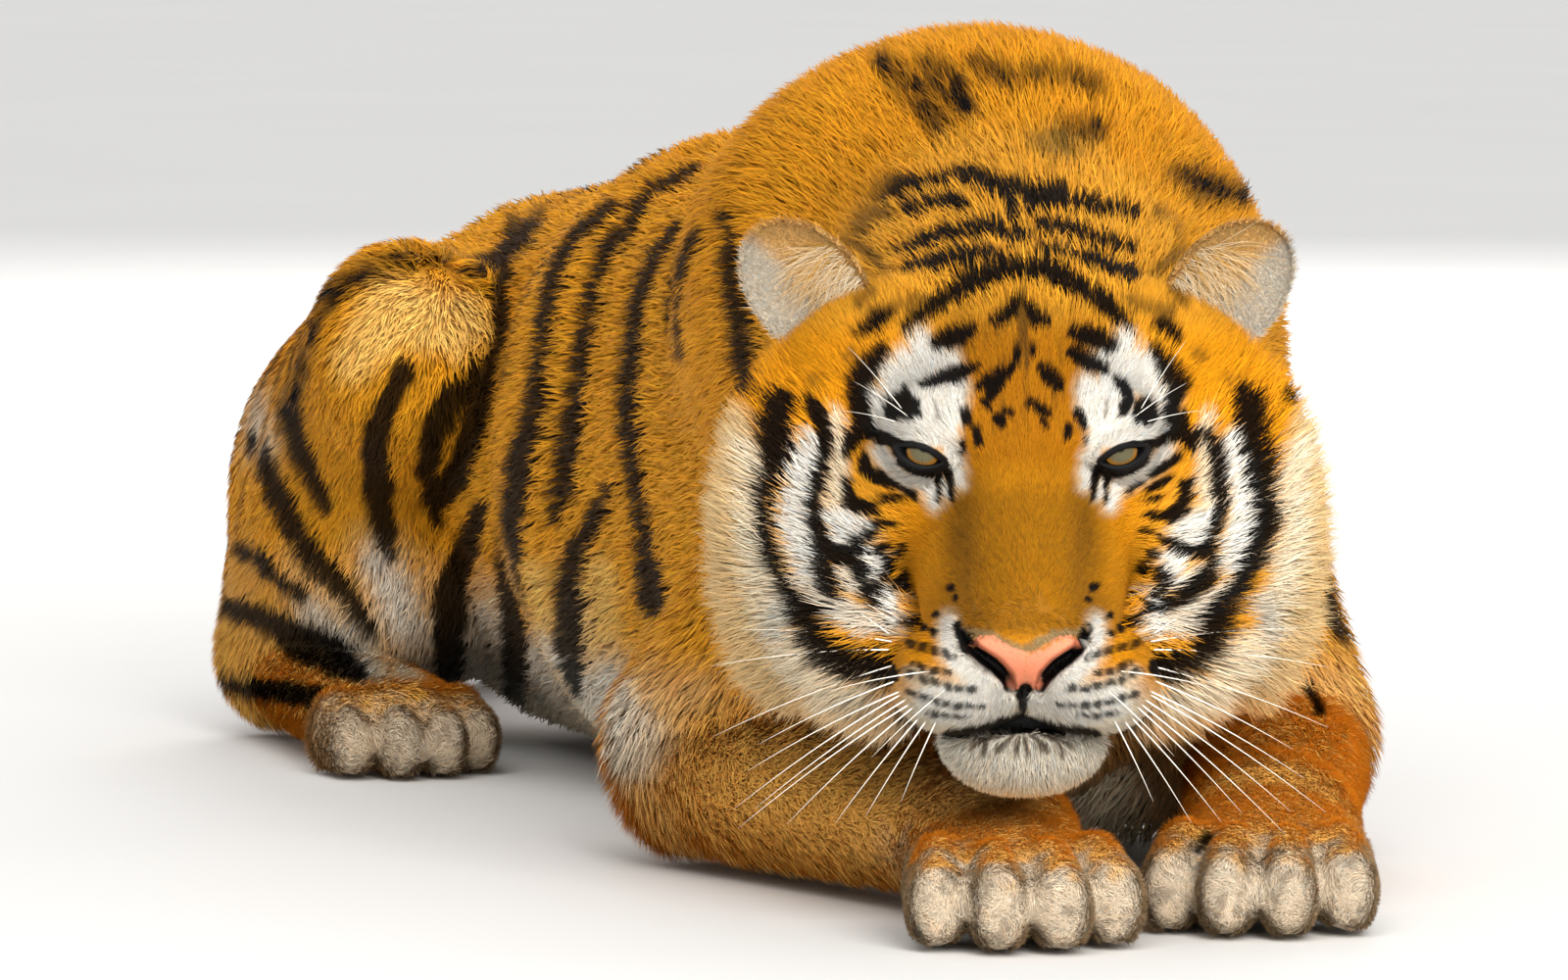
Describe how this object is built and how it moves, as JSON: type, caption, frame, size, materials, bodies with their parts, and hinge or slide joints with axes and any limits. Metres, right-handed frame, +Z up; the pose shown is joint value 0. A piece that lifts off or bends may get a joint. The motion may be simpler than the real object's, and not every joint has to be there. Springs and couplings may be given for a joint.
{
  "type": "siberian tiger",
  "caption": "Life-size Siberian tiger lying in a crouch, chin low over its forepaws, head turned to its right and tail curled round its left side.",
  "frame": {"origin": "On the floor under the middle of the bounding box", "axes": "+Z is up. The body lies along Y with the head towards -Y and the rump towards +Y. +X is the animal's left."},
  "size_m": [0.7095, 1.8287, 0.5532],
  "materials": {
    "coat": "striped orange fur over skin",
    "ear": "short fur, pale and long-haired inside",
    "nose": "bare pink nose leather",
    "eye": "wet amber eye"
  },
  "bodies": {
    "root": {"chest": "coat", "ear_left": "ear", "ear_right": "ear", "eye_left": "eye", "eye_right": "eye", "forearm_left": "coat", "forearm_right": "coat", "front_paw_left": "coat", "front_paw_right": "coat", "head": "coat", "hind_foot_left": "coat", "hind_foot_right": "coat", "loin": "coat", "neck": "coat", "nose": "nose", "rump": "coat", "shank_left": "coat", "shank_right": "coat", "tail_1": "coat", "tail_2": "coat", "tail_3": "coat", "tail_4": "coat", "thigh_left": "coat", "thigh_right": "coat", "upper_arm_left": "coat", "upper_arm_right": "coat"}
  },
  "joints": []
}
